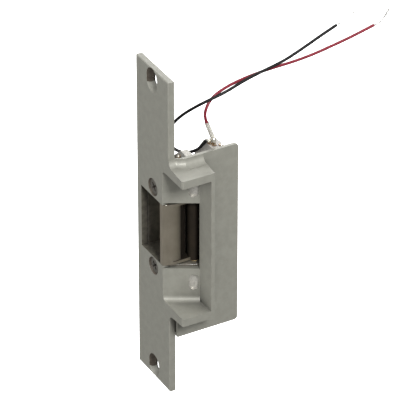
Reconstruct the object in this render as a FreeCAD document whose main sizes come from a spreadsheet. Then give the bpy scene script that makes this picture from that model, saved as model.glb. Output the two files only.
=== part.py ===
import FreeCAD, Part
import math
import os
import re
import Sketcher

# Electric door strike: a cast faceplate and housing, a swinging keeper, the lever that
# locks it and the solenoid that frees the lever.
# X runs across the faceplate towards the lips, Y into the jamb and Z up.  The origin is
# the middle of the faceplate on its back face.  All sizes are in millimetres.

Vector = FreeCAD.Vector
Rotation = FreeCAD.Rotation
Placement = FreeCAD.Placement

DIMENSIONS = {
    # faceplate
    "plate_wide": 36.5,
    "plate_tall": 201.6,
    "plate_thick": 3.8,
    "plate_round": 0.7,
    "mount_pitch": 187.4,
    "mount_radius": 2.9,
    "mount_slot": 8.8,
    "mount_sink": 5.9,
    "opening_left": -13.5,
    "opening_half": 19.8,
    "notch_edge": 10.9,
    "notch_half": 42.4,
    # lips and tray
    "lip_reach": 34.0,
    "lip_thick": 4.9,
    "lip_corner": 1.6,
    "ramp_inner": 48.4,
    "ramp_sweep": 4.5,
    "sweep_crown": 52.6,
    "edge_blend": 5.0,
    "tray_back": 14.1,
    "tray_wall": 2.2,
    "flare_foot": 21.2,
    "flare_wall": 2.3,
    "wall_start": 21.4,
    "scoop_radius": 3.2,
    "recess_height": 30.4,
    "recess_half": 2.2,
    "recess_radius": 2.7,
    "recess_deep": 1.3,
    "recess_along": 17.07,
    # housing
    "case_side": 20.8,
    "case_left": -15.3,
    "case_back": 38.3,
    "case_top": 52.6,
    "case_floor": -63.1,
    "case_wall": 2.0,
    "case_round": 2.0,
    "rear_low": 26.0,
    "boss_half": 3.2,
    "boss_up": 6.0,
    "boss_front": 6.0,
    "boss_rear": 32.0,
    "boss_long": 8.0,
    "cover_thick": 1.2,
    "screw_shank": 1.5,
    "screw_tap": 1.52,
    "head_tall": 1.4,
    # mechanism frame
    "frame_left": -15.1,
    "frame_web": 1.6,
    "frame_plate": 2.0,
    "frame_back": 35.8,
    "frame_right": 18.4,
    "deck": 20.3,
    "ear_top": 31.0,
    "ear_half": 6.0,
    "stop_thick": 1.0,
    "stop_depth": 12.4,
    "case_screw_x": 0.2,
    "case_screw_z": 25.8,
    "case_screw_head": 5.3,
    "case_screw_set": 0.7,
    # keeper
    "pivot_x": 11.0,
    "pivot_y": 16.0,
    "keeper_half": 19.7,
    "keeper_inner": 8.1,
    "keeper_rim": 13.1,
    "keeper_ridge_x": 11.9,
    "keeper_ridge_y": 7.0,
    "keeper_heel_x": 8.5,
    "keeper_heel_y": 11.6,
    "web_radius": 14.8,
    "web_centre_x": -2.15,
    "web_centre_y": 3.2,
    "flange_thick": 1.8,
    "hub_radius": 2.9,
    "hub_wall": 1.2,
    "pin_radius": 2.5,
    "running_gap": 0.06,
    "pin_head": 3.6,
    "tail_low": 11.5,
    "tail_high": 17.5,
    "tail_radius": 8.0,
    "tail_rise": 0.7,
    # locking lever
    "lever_x": -2.2,
    "lever_y": 26.3,
    "lever_pin_radius": 2.0,
    "lever_barrel": 3.4,
    "lever_barrel_half": 19.9,
    "lever_arm": 14.0,
    "lever_root": 2.2,
    "lever_nose": 0.8,
    "lever_bearing": -5.0,
    # solenoid
    "coil_x": 10.1,
    "coil_y": 29.1,
    "plunger_tip": 15.5,
    "plunger_point": 0.8,
    "plunger_shank": 2.5,
    "plunger_shoulder": 19.0,
    "plunger_body": 3.5,
    "plunger_top": 30.5,
    "plunger_travel": 5.0,
    "plunger_bore": 2.3,
    "plunger_bore_deep": 4.0,
    "coil_low": 23.9,
    "coil_high": 37.5,
    "coil_bore": 3.58,
    "coil_tube": 4.3,
    "coil_flange": 6.5,
    "coil_wound": 6.2,
    "yoke_thick": 1.6,
    "yoke_half": 6.0,
    "coil_screw": 1.25,
    # terminals and leads
    "bracket_left": 6.8,
    "bracket_leg": 3.4,
    "bracket_right": 15.4,
    "bracket_thick": 1.0,
    "bracket_foot": 34.5,
    "bracket_fold": 44.4,
    "tab_bend": 10.1,
    "tab_end": 14.0,
    "tab_rise": 3.2,
    "eyelet_radius": 1.5,
    "eyelet_bore": 0.8,
    "block_left": 7.4,
    "block_top": 52.2,
    "block_front": 18.2,
    "block_brow": 24.0,
    "block_crown": 27.2,
    "block_back": 33.0,
    "tag_thick": 0.8,
    "lead_radius": 0.85,
    "strand_radius": 0.5,
    "sleeve_radius": 1.25,
    "sleeve_bore": 0.95,
}

doc = FreeCAD.newDocument("electric_strike")
sheet = doc.addObject("Spreadsheet::Sheet", "Dims")
for line, (alias, size) in enumerate(DIMENSIONS.items(), start=1):
    sheet.set(f"A{line}", alias)
    sheet.set(f"B{line}", str(size))
    sheet.setAlias(f"B{line}", alias)
doc.recompute()

AXES = {"x": Vector(1, 0, 0), "y": Vector(0, 1, 0), "z": Vector(0, 0, 1)}
# Turns a sketch so that its normal lies along an axis and its own x and y follow the others.
SKETCH_TURNS = {
    "x": Rotation(Vector(1, 1, 1), 120),
    "y": Rotation(Vector(1, 0, 0), 90),
    "z": Rotation(),
}
# Turns a cylinder from Z to another axis.
ROD_TURNS = {
    "x": Rotation(Vector(0, 1, 0), 90),
    "y": Rotation(Vector(1, 0, 0), -90),
    "z": Rotation(),
}
ACROSS = {"x": "yz", "y": "xz", "z": "xy"}


def linked(expression):
    """An expression whose words are names on the dimension sheet."""
    return re.sub(r"[a-z_]{2,}", lambda word: f"Dims.{word.group()}", str(expression))


def size(expression):
    """The expression's value, for geometry that code has to work out."""
    return float(sheet.evalExpression(linked(expression)))


def bind(target, field, expression):
    target.setExpression(field, linked(expression))


def place(target, **where):
    """Binds the position of a feature to expressions on the sheet."""
    for axis, expression in where.items():
        bind(target, f"Placement.Base.{axis}", expression)
    return target


def block(name, x, y, z):
    """A box between two expressions on each axis."""
    box = doc.addObject("Part::Box", name)
    for field, (low, high) in zip(("Length", "Width", "Height"), (x, y, z)):
        bind(box, field, f"({high}) - ({low})")
    return place(box, x=x[0], y=y[0], z=z[0])


def rod(name, centre, span, radius, axis="z"):
    """A cylinder along an axis; its centre is on the other two, in X, Y, Z order."""
    cylinder = doc.addObject("Part::Cylinder", name)
    cylinder.Placement = Placement(Vector(), ROD_TURNS[axis])
    bind(cylinder, "Radius", radius)
    bind(cylinder, "Height", f"({span[1]}) - ({span[0]})")
    place(cylinder, **dict(zip(ACROSS[axis], centre)))
    return place(cylinder, **{axis: span[0]})


def cone(name, centre, span, radii, axis="z"):
    """A cone along an axis, from its first radius to its second."""
    solid = doc.addObject("Part::Cone", name)
    solid.Placement = Placement(Vector(), ROD_TURNS[axis])
    bind(solid, "Radius1", radii[0])
    bind(solid, "Radius2", radii[1])
    bind(solid, "Height", f"({span[1]}) - ({span[0]})")
    place(solid, **dict(zip(ACROSS[axis], centre)))
    return place(solid, **{axis: span[0]})


def draw(sketch, corners):
    """Closes a sketch round the corners and ties each corner to the sheet."""
    spots = [Vector(size(a), size(b), 0) for a, b in corners]
    for index, spot in enumerate(spots):
        following = spots[(index + 1) % len(spots)]
        sketch.addGeometry(Part.LineSegment(spot, following), False)
    for index, (a, b) in enumerate(corners):
        following = (index + 1) % len(corners)
        sketch.addConstraint(Sketcher.Constraint("Coincident", index, 2, following, 1))
        for kind, expression in (("DistanceX", a), ("DistanceY", b)):
            constraint = Sketcher.Constraint(kind, -1, 1, index, 1, size(expression))
            number = sketch.addConstraint(constraint)
            bind(sketch, f"Constraints[{number}]", expression)
    return sketch


def prism(name, corners, span, axis="z"):
    """A straight prism whose outline is drawn square to the axis."""
    sketch = doc.addObject("Sketcher::SketchObject", name + "_outline")
    sketch.Placement = Placement(Vector(), SKETCH_TURNS[axis])
    place(draw(sketch, corners), **{axis: span[0]})
    solid = doc.addObject("Part::Extrusion", name)
    solid.Base = sketch
    solid.DirMode = "Custom"
    solid.Dir = AXES[axis]
    bind(solid, "LengthFwd", f"({span[1]}) - ({span[0]})")
    solid.Solid = True
    return solid


def turned(name, corners, **where):
    """A PartDesign body turned about Z from an outline of radius and height."""
    body = doc.addObject("PartDesign::Body", name)
    sketch = body.newObject("Sketcher::SketchObject", name + "_half")
    plane = next(part for part in body.Origin.OriginFeatures if part.Role == "XZ_Plane")
    sketch.AttachmentSupport = [(plane, "")]
    sketch.MapMode = "FlatFace"
    draw(sketch, corners)
    revolution = body.newObject("PartDesign::Revolution", name + "_turn")
    revolution.Profile = sketch
    revolution.ReferenceAxis = (sketch, ["V_Axis"])
    revolution.Angle = 360
    return place(body, **where)


def joined(name, parts):
    fuse = doc.addObject("Part::MultiFuse", name)
    fuse.Shapes = parts
    fuse.Refine = True
    return fuse


def group(name, parts):
    compound = doc.addObject("Part::Compound", name)
    compound.Links = parts
    return compound


def less(name, base, tools):
    """The base with every tool cut away from it."""
    cut = doc.addObject("Part::Cut", name)
    cut.Base = base
    cut.Tool = tools[0] if len(tools) == 1 else joined(name + "_tools", tools)
    cut.Refine = True
    return cut


def shared(name, parts):
    common = doc.addObject("Part::MultiCommon", name)
    common.Shapes = parts
    return common


def rounded(name, base, radius, wanted):
    """Rounds the straight edges whose middle the wanted test accepts."""
    doc.recompute()
    fillet = doc.addObject("Part::Fillet", name)
    fillet.Base = base
    picks = []
    for number, edge in enumerate(base.Shape.Edges, start=1):
        middle = edge.valueAt((edge.FirstParameter + edge.LastParameter) / 2)
        along = edge.tangentAt((edge.FirstParameter + edge.LastParameter) / 2)
        if wanted(middle, along):
            picks.append((number, size(radius), size(radius)))
    fillet.Edges = picks
    return fillet


def both_ends(name, make):
    """The same feature above and below the middle, for signs of +1 and -1."""
    return [make(f"{name}_upper", 1), make(f"{name}_lower", -1)]


def mirrored_span(low, high, sign):
    """A span of heights above the middle, or its mirror image below it."""
    return (low, high) if sign > 0 else (f"-({high})", f"-({low})")


# ---------------------------------------------------------------- casting


def mounting_slot(name, sign):
    """A countersunk slot through the faceplate for a mounting screw."""
    reach = "mount_slot / 2 - mount_radius"
    middle = f"{sign} * mount_pitch / 2"
    front = "-plate_thick - 0.01"
    tools = [
        block(
            f"{name}_throat",
            ("-mount_radius", "mount_radius"),
            (front, "0.5"),
            (f"{middle} - ({reach})", f"{middle} + {reach}"),
        )
    ]
    for end in (-1, 1):
        centre = ("0", f"{middle} + {end} * ({reach})")
        tools.append(rod(f"{name}_end{end + 1}", centre, (front, "0.5"), "mount_radius", "y"))
        span = (front, "-plate_thick + mount_sink - mount_radius")
        radii = ("mount_sink", "mount_radius")
        tools.append(cone(f"{name}_sink{end + 1}", centre, span, radii, "y"))
    return joined(name, tools)


def screw_sink(name, sign):
    """A countersunk hole for one of the screws that hold the mechanism frame."""
    centre = ("case_screw_x", f"{sign} * case_screw_z")
    span = ("-plate_thick - 0.01", "-plate_thick + case_screw_head - 1.7")
    sink = cone(f"{name}_cone", centre, span, ("case_screw_head + 0.01", "1.7"), "y")
    hole = rod(f"{name}_hole", centre, ("-plate_thick", "0.5"), "1.7", "y")
    return joined(name, [sink, hole])


def faceplate():
    blank = block(
        "plate_blank",
        ("-plate_wide / 2", "plate_wide / 2"),
        ("-plate_thick", "0"),
        ("-plate_tall / 2", "plate_tall / 2"),
    )

    def outer_front(middle, along):
        return abs(middle.y + size("plate_thick")) < 0.01

    soft = rounded("plate_soft", blank, "plate_round", outer_front)
    tools = [
        block(
            "latch_opening",
            ("opening_left", "notch_edge"),
            ("-plate_thick - 1", "1"),
            ("-opening_half", "opening_half"),
        ),
        block(
            "edge_notch",
            ("notch_edge", "plate_wide"),
            ("-plate_thick - 1", "1"),
            ("-notch_half", "notch_half"),
        ),
    ]
    tools += both_ends("mounting_slot", mounting_slot)
    tools += both_ends("frame_sink", screw_sink)
    return less("plate", soft, tools)


def lip(name, sign):
    """A horizontal shelf that carries the latch past the faceplate's edge."""
    corners = [
        ("notch_edge", "-plate_thick"),
        ("lip_reach", "-plate_thick"),
        ("lip_reach", "tray_back + tray_wall"),
        ("case_side - case_wall", "tray_back + tray_wall"),
        ("case_side - case_wall", "tray_back"),
        ("notch_edge - flare_wall", "-plate_thick"),
    ]
    span = mirrored_span("notch_half", "notch_half + lip_thick", sign)
    slab = prism(f"{name}_slab", corners, span)

    def outer_corner(middle, along):
        near = abs(middle.x - size("lip_reach")) + abs(middle.y + size("plate_thick"))
        return near < 0.01 and abs(along.z) > 0.9

    return rounded(name, slab, "lip_corner", outer_corner)


def ramp(name, sign):
    """The gentle slope on a lip's outer side, swept up to the housing and the plate's edge."""
    top = "notch_half + lip_thick"
    inner = "case_side - case_wall"
    slope = [
        (inner, f"{sign} * ({top} - 0.5)"),
        ("lip_reach - 1.6", f"{sign} * ({top} - 0.5)"),
        ("lip_reach - 1.6", f"{sign} * ({top})"),
        ("case_side", f"{sign} * ramp_inner"),
        (inner, f"{sign} * ramp_inner"),
    ]
    across = ("-plate_thick", "tray_back + tray_wall")
    wedge = prism(f"{name}_wedge", slope, across, "y")
    runs = (
        ("case_side", "edge_blend", "case_side", "tray_back + tray_wall"),
        ("plate_wide / 2", "0", "case_side", "edge_blend"),
        ("plate_wide / 2", "-plate_thick", "plate_wide / 2", "0"),
    )
    sweeps = [sweep(f"{name}_sweep{number}", sign, *run) for number, run in enumerate(runs)]
    return joined(name, [wedge] + sweeps)


def sweep(name, sign, near_face, near, far_face, far):
    """A hollow round between a lip and an upright face, which may slant from near to far."""
    radius = size("ramp_sweep")
    crown = size("sweep_crown")
    low = size("notch_half + 1")
    face = size(near_face)
    spots = [
        (face - 1, low),
        (face + radius, low),
        (face + radius, crown - radius),
        (face + radius * (1 - math.sqrt(0.5)), crown - radius * math.sqrt(0.5)),
        (face, crown),
        (face - 1, crown),
    ]
    a, b, c, middle, d, e = [Vector(x, size(near), sign * z) for x, z in spots]
    edges = [Part.LineSegment(*ends).toShape() for ends in ((e, a), (a, b), (b, c))]
    edges += [Part.Arc(c, middle, d).toShape(), Part.LineSegment(d, e).toShape()]
    feature = doc.addObject("Part::Feature", name)
    profile = Part.Face(Part.Wire(edges))
    feature.Shape = profile.extrude(Vector(size(far_face) - face, size(far) - size(near), 0))
    return feature


def blend_cut(name, sign):
    """Takes the housing's corner off where the sweep slants back to the faceplate's edge."""
    corners = [
        ("plate_wide / 2", "0"),
        ("case_side + 1", "0"),
        ("case_side + 1", "edge_blend"),
        ("case_side", "edge_blend"),
    ]
    return prism(name, corners, mirrored_span("notch_half + 1", "sweep_crown + 0.1", sign))


def flared_wall(name, sign):
    """The slanting wall between the faceplate's notch and the back of the tray."""
    corners = [
        ("notch_edge", "-plate_thick"),
        ("flare_foot", "tray_back"),
        ("flare_foot", "tray_back + 1"),
        ("flare_foot - flare_wall", "tray_back + 1"),
        ("notch_edge - flare_wall", "-plate_thick"),
    ]
    return prism(name, corners, mirrored_span("wall_start", "notch_half + 1", sign))


def flare_turn():
    """The angle of the flared wall's face from X, in degrees."""
    run = size("flare_foot - notch_edge")
    rise = size("tray_back + plate_thick")
    return math.degrees(math.atan2(rise, run))


def along_flare(along, out, height, spin=None):
    """A placement on the flared wall's face: along it, out from it, and up."""
    turn = Rotation(Vector(0, 0, 1), flare_turn())
    start = Vector(size("notch_edge"), -size("plate_thick"), 0)
    spot = start + turn.multVec(Vector(along, -out, height))
    return Placement(spot, turn.multiply(spin) if spin else turn)


def scoop(name, sign):
    """The broad hollow sweep between the flared wall and a lip's inner face."""
    radius = size("scoop_radius")
    long = math.hypot(size("flare_foot - notch_edge"), size("tray_back + plate_thick"))
    inner = size("notch_half")
    corner = doc.addObject("Part::Box", f"{name}_corner")
    bind(corner, "Width", "scoop_radius")
    bind(corner, "Height", "scoop_radius")
    corner.Length = long
    base = inner - radius if sign > 0 else -inner
    corner.Placement = along_flare(0, radius, base)
    hollow = doc.addObject("Part::Cylinder", f"{name}_hollow")
    bind(hollow, "Radius", "scoop_radius")
    hollow.Height = long + 2
    lay = Rotation(Vector(0, 1, 0), 90)
    hollow.Placement = along_flare(-1, radius, sign * (inner - radius), lay)
    swept = less(f"{name}_swept", corner, [hollow])
    room = block(
        f"{name}_room",
        ("notch_edge - 1", "lip_reach"),
        ("-plate_thick", "tray_back"),
        mirrored_span("wall_start", "notch_half", sign),
    )
    return shared(name, [swept, room])


def wall_pad(name, sign):
    """Extra metal behind the flared wall where the blind recess is cut."""
    corners = [
        ("notch_edge + 3.9", "tray_back - 10.5"),
        ("flare_foot - 1.8", "tray_back - 2"),
        ("flare_foot - flare_wall - 2", "tray_back - 2"),
        ("notch_edge + 4.6 - flare_wall - 1", "tray_back - 10.5"),
    ]
    span = mirrored_span("recess_height - 7", "recess_height + 7", sign)
    return prism(name, corners, span)


def wall_recess(name, sign):
    """A blind upright slot, round at both ends, in the flared wall's face."""
    middle = size("recess_along")
    deep = size("recess_deep")
    tools = []
    lay = Rotation(Vector(1, 0, 0), -90)
    for end in (-1, 1):
        bore = doc.addObject("Part::Cylinder", f"{name}_end{end + 1}")
        bind(bore, "Radius", "recess_radius")
        bore.Height = deep + 2
        height = sign * size("recess_height") + end * size("recess_half")
        bore.Placement = along_flare(middle, 2, height, lay)
        tools.append(bore)
    slot = doc.addObject("Part::Box", f"{name}_slot")
    slot.Length = size("2 * recess_radius")
    slot.Width = deep + 2
    slot.Height = size("2 * recess_half")
    low = sign * size("recess_height") - size("recess_half")
    slot.Placement = along_flare(middle - size("recess_radius"), 2, low)
    return joined(name, tools + [slot])


def case_walls():
    """The housing's side, back and floor, with the bosses for the cover's screws."""
    inner = "case_side - case_wall"
    side = block(
        "case_side_wall", (inner, "case_side"), ("0", "case_back"), ("case_floor", "case_top")
    )

    def rear_corner(middle, along):
        return abs(middle.y - size("case_back")) < 0.01 and abs(along.x) > 0.9

    side = rounded("case_side_round", side, "case_round", rear_corner)
    tray = block(
        "tray_gap",
        (f"{inner} - 1", "case_side + 1"),
        ("-1", "tray_back + tray_wall"),
        ("-notch_half - 1", "notch_half + 1"),
    )
    back = prism(
        "case_back_wall",
        [
            ("case_left", "case_floor"),
            (inner, "case_floor"),
            (inner, "case_top - 2.5"),
            ("case_left", "rear_low"),
        ],
        ("case_back - case_wall", "case_back"),
        "y",
    )
    floor = block(
        "case_floor_wall",
        ("case_left", inner),
        ("0", "case_back"),
        ("case_floor", "case_floor + case_wall"),
    )
    bosses = []
    for name in ("boss_front", "boss_rear"):
        boss = block(
            f"cover_{name}",
            ("case_left", "case_left + boss_long"),
            (f"{name} - boss_half", f"{name} + boss_half"),
            ("case_floor + 1", "case_floor + boss_up + boss_half"),
        )
        bosses.append(boss)
    cuts = [tray] + both_ends("blend_cut", blend_cut)
    return [less("case_side_cut", side, cuts), back, floor] + bosses


def tray_wall():
    """The wall behind the lips, with its inner edge cut back to clear the keeper."""
    corners = [
        ("case_side - 0.2", "tray_back"),
        ("lip_reach", "tray_back"),
        ("lip_reach", "tray_back + tray_wall"),
        ("case_side", "tray_back + tray_wall"),
        ("case_side", "tray_back + tray_wall + 2"),
        ("case_side - case_wall", "tray_back + tray_wall + 2"),
        ("case_side - case_wall", "tray_back + tray_wall"),
    ]
    return prism("tray_wall", corners, ("-notch_half - 1", "notch_half + 1"))


def cast_body():
    pieces = [faceplate(), tray_wall()] + case_walls()
    for make, name in (
        (lip, "lip"),
        (ramp, "ramp"),
        (flared_wall, "flared_wall"),
        (scoop, "scoop"),
        (wall_pad, "wall_pad"),
    ):
        pieces += both_ends(name, make)
    tools = both_ends("wall_recess", wall_recess)
    for name in ("boss_front", "boss_rear"):
        span = ("case_left - 1", "case_left + 6")
        tap = rod(f"{name}_tap", (name, "case_floor + boss_up"), span, "screw_tap", "x")
        tools.append(tap)
    return less("cast_body", joined("casting", pieces), tools)


def side_cover():
    """The sheet that closes the housing's plain side."""
    body = doc.addObject("PartDesign::Body", "side_cover")
    sketch = body.newObject("Sketcher::SketchObject", "side_cover_outline")
    plane = next(part for part in body.Origin.OriginFeatures if part.Role == "YZ_Plane")
    sketch.AttachmentSupport = [(plane, "")]
    sketch.MapMode = "FlatFace"
    draw(
        sketch,
        [
            ("0.3", "case_floor"),
            ("case_back - 1.5", "case_floor"),
            ("case_back", "case_floor + 1.5"),
            ("case_back", "rear_low - 1.5"),
            ("case_back - 1.5", "rear_low"),
            ("0.3", "rear_low"),
        ],
    )
    pad = body.newObject("PartDesign::Pad", "side_cover_pad")
    pad.Profile = sketch
    bind(pad, "Length", "cover_thick")
    place(body, x="case_left - cover_thick")
    holes = []
    for index, (y, z) in enumerate(COVER_SCREWS):
        span = ("case_left - cover_thick - 1", "case_left + 1")
        holes.append(rod(f"cover_hole{index}", (y, z), span, "screw_shank + 0.1", "x"))
    return less("side_cover_drilled", body, holes)


COVER_SCREWS = (
    ("boss_front", "case_floor + boss_up"),
    ("boss_rear", "case_floor + boss_up"),
    ("17", "16"),
    ("31", "16"),
)


def cover_screws():
    screws = []
    for index, (y, z) in enumerate(COVER_SCREWS):
        face = "case_left - cover_thick"
        head = rod(f"cover_head{index}", (y, z), (f"{face} - head_tall", face), "2.6", "x")
        shank = rod(f"cover_shank{index}", (y, z), (face, "case_left + 2.6"), "screw_shank", "x")
        screws.append(joined(f"cover_screw{index}", [head, shank]))
    return group("cover_screws", screws)


# ---------------------------------------------------------------- mechanism frame


def frame_deck(name, sign):
    corners = [
        ("frame_left", "0.3"),
        ("notch_edge - 0.4", "0.3"),
        ("frame_right - 1.4", "tray_back - 1.6"),
        ("frame_right", "tray_back + 1.4"),
        ("frame_right", "frame_back"),
        ("frame_left", "frame_back"),
    ]
    return prism(name, corners, mirrored_span("deck", "deck + frame_plate", sign))


def frame_ear(name, sign):
    """A tab against the faceplate's back, tapped for a frame screw."""
    return block(
        name,
        ("case_screw_x - ear_half", "case_screw_x + ear_half"),
        ("0", "frame_plate"),
        mirrored_span("deck + 0.5", "ear_top", sign),
    )


def mechanism_frame():
    web = block(
        "frame_web_plate",
        ("frame_left", "frame_left + frame_web"),
        ("0.3", "frame_back"),
        ("-deck - frame_plate", "deck + frame_plate"),
    )
    parts = [web] + both_ends("frame_deck", frame_deck) + both_ends("frame_ear", frame_ear)
    reach = ("-deck - frame_plate - 1", "deck + frame_plate + 1")
    tools = [
        rod("keeper_seats", ("pivot_x", "pivot_y"), reach, "pin_radius + 0.02"),
        rod("lever_seats", ("lever_x", "lever_y"), reach, "lever_pin_radius + 0.02"),
        rod("plunger_way", ("coil_x", "coil_y"), ("0", reach[1]), "plunger_body + 0.4"),
    ]
    for sign in (-1, 1):
        centre = ("case_screw_x", f"{sign} * case_screw_z")
        tools.append(rod(f"ear_tap{sign + 1}", centre, ("0", "3"), "screw_tap", "y"))
    for index, (y, z) in enumerate(COVER_SCREWS[2:]):
        span = ("frame_left - 1", "frame_left + 3")
        tools.append(rod(f"web_tap{index}", (y, z), span, "screw_tap", "x"))
    for index, (x, y) in enumerate(COIL_SCREWS):
        span = ("deck - 1", "deck + frame_plate + 1")
        tools.append(rod(f"deck_hole{index}", (x, y), span, "coil_screw + 0.05"))
    return less("mechanism_frame", joined("frame_blank", parts), tools)


def frame_screws():
    """The two countersunk screws beside the latch opening."""
    screws = []
    for sign in (-1, 1):
        centre = ("case_screw_x", f"{sign} * case_screw_z")
        face = "-plate_thick + case_screw_set"
        span = (face, "-plate_thick + case_screw_head - 1.7")
        radii = ("case_screw_head - case_screw_set - 0.1", "screw_shank + 0.1")
        head = cone(f"frame_head{sign + 1}", centre, span, radii, "y")
        shank = rod(f"frame_shank{sign + 1}", centre, (face, "5"), "screw_shank", "y")
        screws.append(joined(f"frame_screw{sign + 1}", [head, shank]))
    return group("frame_screws", screws)


def latch_stop():
    """The sheet between the decks that stops the latch short of the mechanism."""
    return block(
        "latch_stop",
        ("frame_left + frame_web", "pivot_x - 4.8"),
        ("stop_depth", "stop_depth + stop_thick"),
        ("-deck", "deck"),
    )


# ---------------------------------------------------------------- keeper


def polar(centre_x, centre_y, radius, degrees):
    """A point at a radius and bearing, as expressions that keep their sheet names."""
    turn = math.radians(degrees)
    return (
        f"{centre_x} + ({radius}) * {math.cos(turn):.5f}",
        f"{centre_y} + ({radius}) * {math.sin(turn):.5f}",
    )


def keeper_web():
    """The jaw itself: a convex outer face, a flat inner face and a slanting heel."""
    corners = [
        ("keeper_inner", "-plate_thick"),
        ("keeper_rim + 0.5", "-plate_thick"),
        ("keeper_rim + 0.5", "keeper_ridge_y - 2"),
        ("keeper_ridge_x", "keeper_ridge_y"),
        ("keeper_heel_x", "keeper_heel_y"),
        ("keeper_inner", "keeper_heel_y"),
    ]
    span = ("-keeper_half", "keeper_half")
    blank = prism("web_blank", corners, span)
    bulge = rod("web_bulge", ("web_centre_x", "web_centre_y"), span, "web_radius")
    return shared("keeper_web", [blank, bulge])


def keeper_flange(name, sign):
    corners = [
        ("keeper_inner", "2"),
        ("keeper_rim - 0.6", "1"),
        ("keeper_rim", "2.5"),
        ("keeper_rim", "pivot_y"),
        ("pivot_x - hub_radius", "pivot_y"),
        ("keeper_inner", "keeper_heel_y + 1.6"),
    ]
    span = mirrored_span("keeper_half - flange_thick", "keeper_half", sign)
    plate = prism(f"{name}_plate", corners, span)
    end = rod(f"{name}_end", ("pivot_x", "pivot_y"), span, "hub_radius + hub_wall")
    return joined(name, [plate, end])


def keeper_tail():
    """The locking arm, whose end follows a spiral that lifts the lever's nose."""
    corners = [polar("pivot_x", "pivot_y", "hub_radius - 0.6", 105)]
    for step in range(4):
        radius = f"tail_radius + {step} * tail_rise"
        corners.append(polar("pivot_x", "pivot_y", radius, 83 - 11 * step))
    corners.append(polar("pivot_x", "pivot_y", "hub_radius - 0.6", 20))
    return prism("keeper_tail", corners, ("tail_low", "tail_high"))


def keeper():
    pivot = ("pivot_x", "pivot_y")
    parts = [
        keeper_web(),
        keeper_tail(),
        rod("keeper_barrel", pivot, ("-keeper_half", "keeper_half"), "hub_radius + hub_wall"),
    ] + both_ends("keeper_flange", keeper_flange)
    bore = rod("keeper_bore", pivot, ("-25", "25"), "pin_radius + running_gap")
    return less("keeper", joined("keeper_blank", parts), [bore])


def keeper_pin(name, sign):
    low = "tail_low" if sign > 0 else "keeper_half - 4"
    deck_face = "deck + frame_plate"
    tall = "1.2" if sign > 0 else "8"
    corners = [
        ("0", low),
        ("pin_radius", low),
        ("pin_radius", deck_face),
        ("pin_head", deck_face),
        ("pin_head", f"{deck_face} + 1.2"),
        ("pin_radius", f"{deck_face} + 1.2"),
        ("pin_radius", f"{deck_face} + 1.3 + {tall}"),
        ("0", f"{deck_face} + 1.3 + {tall}"),
    ]
    if sign > 0:
        corners = corners[:5] + [("0", f"{deck_face} + 1.2")]
    signed = [(radius, f"{sign} * ({height})") for radius, height in corners]
    return turned(name, signed, x="pivot_x", y="pivot_y")


def keeper_washers():
    washers = []
    for sign in (-1, 1):
        span = mirrored_span("keeper_half + 0.1", "deck - 0.1", sign)
        disc = rod(f"washer_disc{sign + 1}", ("pivot_x", "pivot_y"), span, "4")
        hole = rod(f"washer_hole{sign + 1}", ("pivot_x", "pivot_y"), span, "pin_radius + 0.1")
        washers.append(less(f"washer{sign + 1}", disc, [hole]))
    return group("keeper_washers", washers)


def sleeve_of(name, centre, span, radii):
    """A plain tube: the space that a coiled spring or a winding fills."""
    outer = rod(f"{name}_outer", centre, span, radii[1])
    inner = rod(f"{name}_inner", centre, span, radii[0])
    return less(name, outer, [inner])


# ---------------------------------------------------------------- locking lever


def locking_lever():
    """A full-height barrel on its pin, with the arm that blocks the keeper's tail."""
    centre = ("lever_x", "lever_y")
    barrel = rod("lever_tube", centre, ("-lever_barrel_half", "lever_barrel_half"), "lever_barrel")
    bearing = size("lever_bearing")
    turn = math.radians(bearing)
    forward = (math.cos(turn), math.sin(turn))
    left = (-forward[1], forward[0])
    corners = []
    for along, side in (
        ("0", "-lever_root"),
        ("lever_arm", "-lever_nose"),
        ("lever_arm", "lever_nose"),
        ("0", "lever_root"),
    ):
        corners.append(
            tuple(
                f"{start} + ({along}) * {ahead:.5f} + ({side}) * {aside:.5f}"
                for start, ahead, aside in zip(centre, forward, left)
            )
        )
    span = ("tail_low", "tail_high")
    arm = prism("lever_arm_bar", corners, span)
    nose = rod("lever_nose_tip", polar(*centre, "lever_arm", bearing), span, "lever_nose")
    bore = rod("lever_bore", centre, ("-25", "25"), "lever_pin_radius + running_gap")
    return less("locking_lever", joined("lever_blank", [barrel, arm, nose]), [bore])


def lever_pin():
    outer = "deck + frame_plate"
    corners = [
        ("0", f"-({outer}) - 1.2"),
        ("3", f"-({outer}) - 1.2"),
        ("3", f"-({outer})"),
        ("lever_pin_radius", f"-({outer})"),
        ("lever_pin_radius", f"{outer} + 1"),
        ("0", f"{outer} + 1"),
    ]
    return turned("lever_pin", corners, x="lever_x", y="lever_y")


# ---------------------------------------------------------------- solenoid


COIL_SCREWS = (("4.6", "24.6"), ("15.4", "33.7"))


def plunger():
    """The iron core: its point stands behind the lever's arm, its bore holds the spring."""
    bevel = "plunger_tip + plunger_shank - plunger_point"
    corners = [
        ("0", "plunger_tip"),
        ("plunger_point", "plunger_tip"),
        ("plunger_shank", bevel),
        ("plunger_shank", "plunger_shoulder"),
        ("plunger_body", "plunger_shoulder"),
        ("plunger_body", "plunger_top"),
        ("plunger_bore", "plunger_top"),
        ("plunger_bore", "plunger_top - plunger_bore_deep"),
        ("0", "plunger_top - plunger_bore_deep"),
    ]
    return turned("plunger", corners, x="coil_x", y="coil_y")


def coil_bobbin():
    corners = [
        ("coil_bore", "coil_low"),
        ("coil_flange", "coil_low"),
        ("coil_flange", "coil_low + 1"),
        ("coil_tube", "coil_low + 1"),
        ("coil_tube", "coil_high - 1"),
        ("coil_flange", "coil_high - 1"),
        ("coil_flange", "coil_high"),
        ("coil_bore", "coil_high"),
    ]
    return turned("coil_bobbin", corners, x="coil_x", y="coil_y")


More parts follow.
